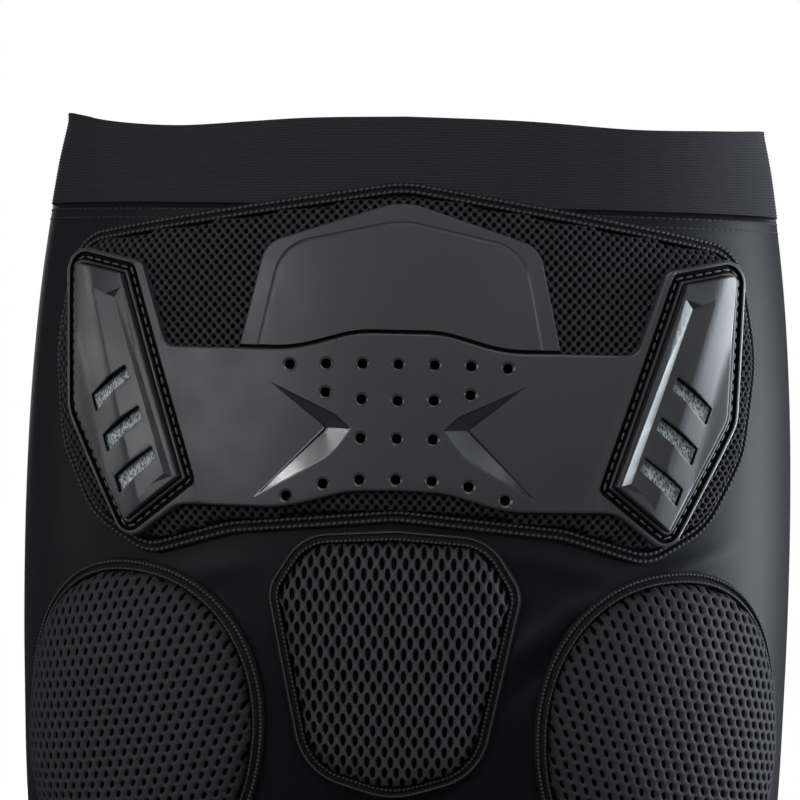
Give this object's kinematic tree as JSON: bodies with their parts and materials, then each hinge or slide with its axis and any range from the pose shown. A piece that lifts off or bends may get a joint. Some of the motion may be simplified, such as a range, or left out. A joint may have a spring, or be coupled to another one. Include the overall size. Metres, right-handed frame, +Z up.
{
  "type": "padded hip shorts",
  "caption": "Padded stretch shorts: wide elastic waist, mesh foam pads on hips, tailbone and seat, and a moulded lumbar guard.",
  "frame": {"origin": "centre of the waist opening, at the waistline, halfway up the waistband", "axes": "+Z up, +X to the wearer's right as seen from behind, -Y out of the wearer's back"},
  "size_m": [0.3522, 0.2341, 0.4505],
  "materials": {
    "elastic": "fine ribbed elastic, dull black",
    "body_fabric": "smooth stretch knit, near black",
    "mesh": "open hexagonal net over black cloth",
    "plate_plastic": "satin charcoal moulding with a fine grain",
    "panel_plastic": "smooth satin, a little glossier",
    "slot_cloth": "pale reflective weave"
  },
  "bodies": {
    "root": {"waistband": "elastic", "shorts_body": "body_fabric", "lumbar_pad": "mesh", "tailbone_pad": "mesh", "seat_pad_left": "mesh", "seat_pad_right": "mesh", "upper_plate": "plate_plastic", "hip_band": "plate_plastic", "side_panel_left": "panel_plastic", "side_panel_right": "panel_plastic", "slot_cloth_left": "slot_cloth", "slot_cloth_right": "slot_cloth"}
  },
  "joints": []
}
